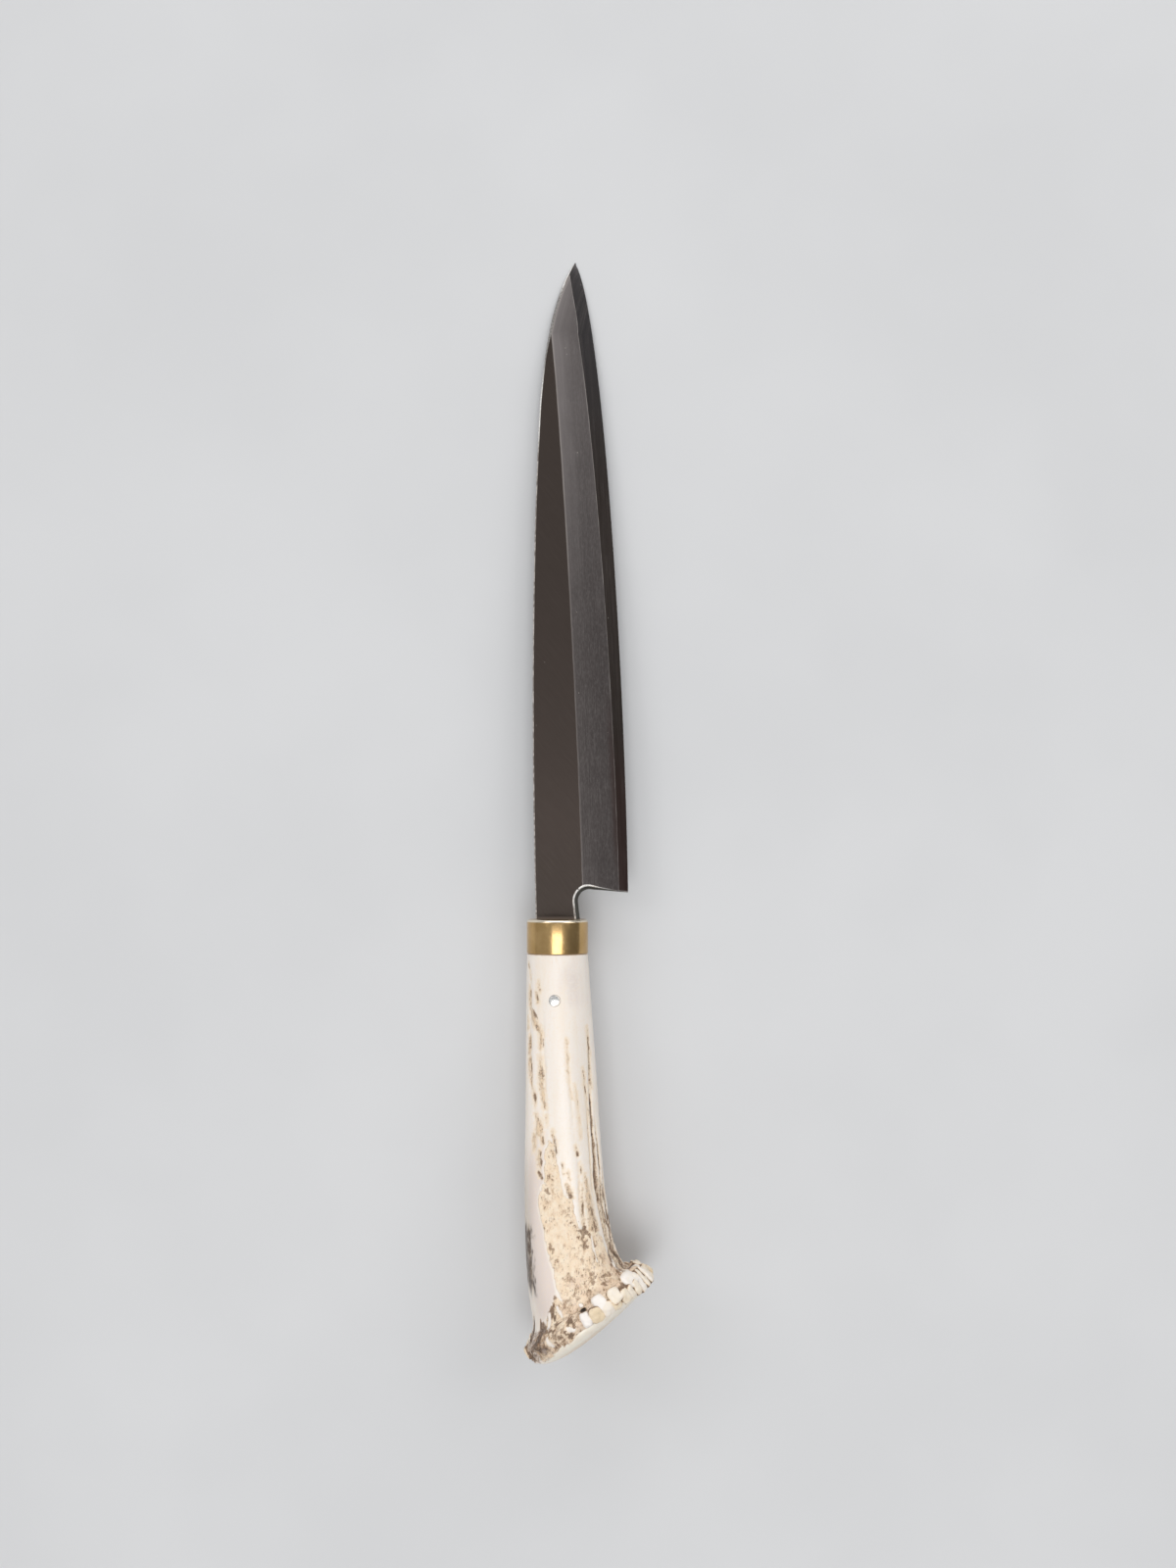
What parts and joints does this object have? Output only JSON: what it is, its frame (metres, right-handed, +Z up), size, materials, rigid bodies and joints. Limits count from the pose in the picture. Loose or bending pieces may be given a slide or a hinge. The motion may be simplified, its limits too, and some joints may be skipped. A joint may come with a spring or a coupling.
{
  "type": "boning and slicing knife",
  "caption": "Single-bevel laminated slicing and boning knife with a heel notch, brass ferrule, pinned tang and stag crown antler handle, lying on its tip and burr.",
  "frame": {"origin": "middle of the knife's box, on the surface that the knife lies on", "axes": "+Y to the tip, +X to the cutting edge, +Z up; the bevelled side faces up"},
  "size_m": [0.0376, 0.3284, 0.0403],
  "materials": {
    "soft_iron": "soft iron, satin bevel and fine diagonal polish on the flat",
    "hard_steel": "hardened carbon steel, fine polish, darker and glossier than the iron",
    "brass": "satin brass, lightly toned",
    "antler": null,
    "pin_steel": "polished steel, filed flush",
    "resin": "set brown cutler's resin, hidden"
  },
  "bodies": {
    "root": {"blade_iron": "soft_iron", "edge_steel": "hard_steel", "ferrule": "brass", "antler_handle": "antler", "tang_pin": "pin_steel", "tang_bedding": "resin"}
  },
  "joints": []
}
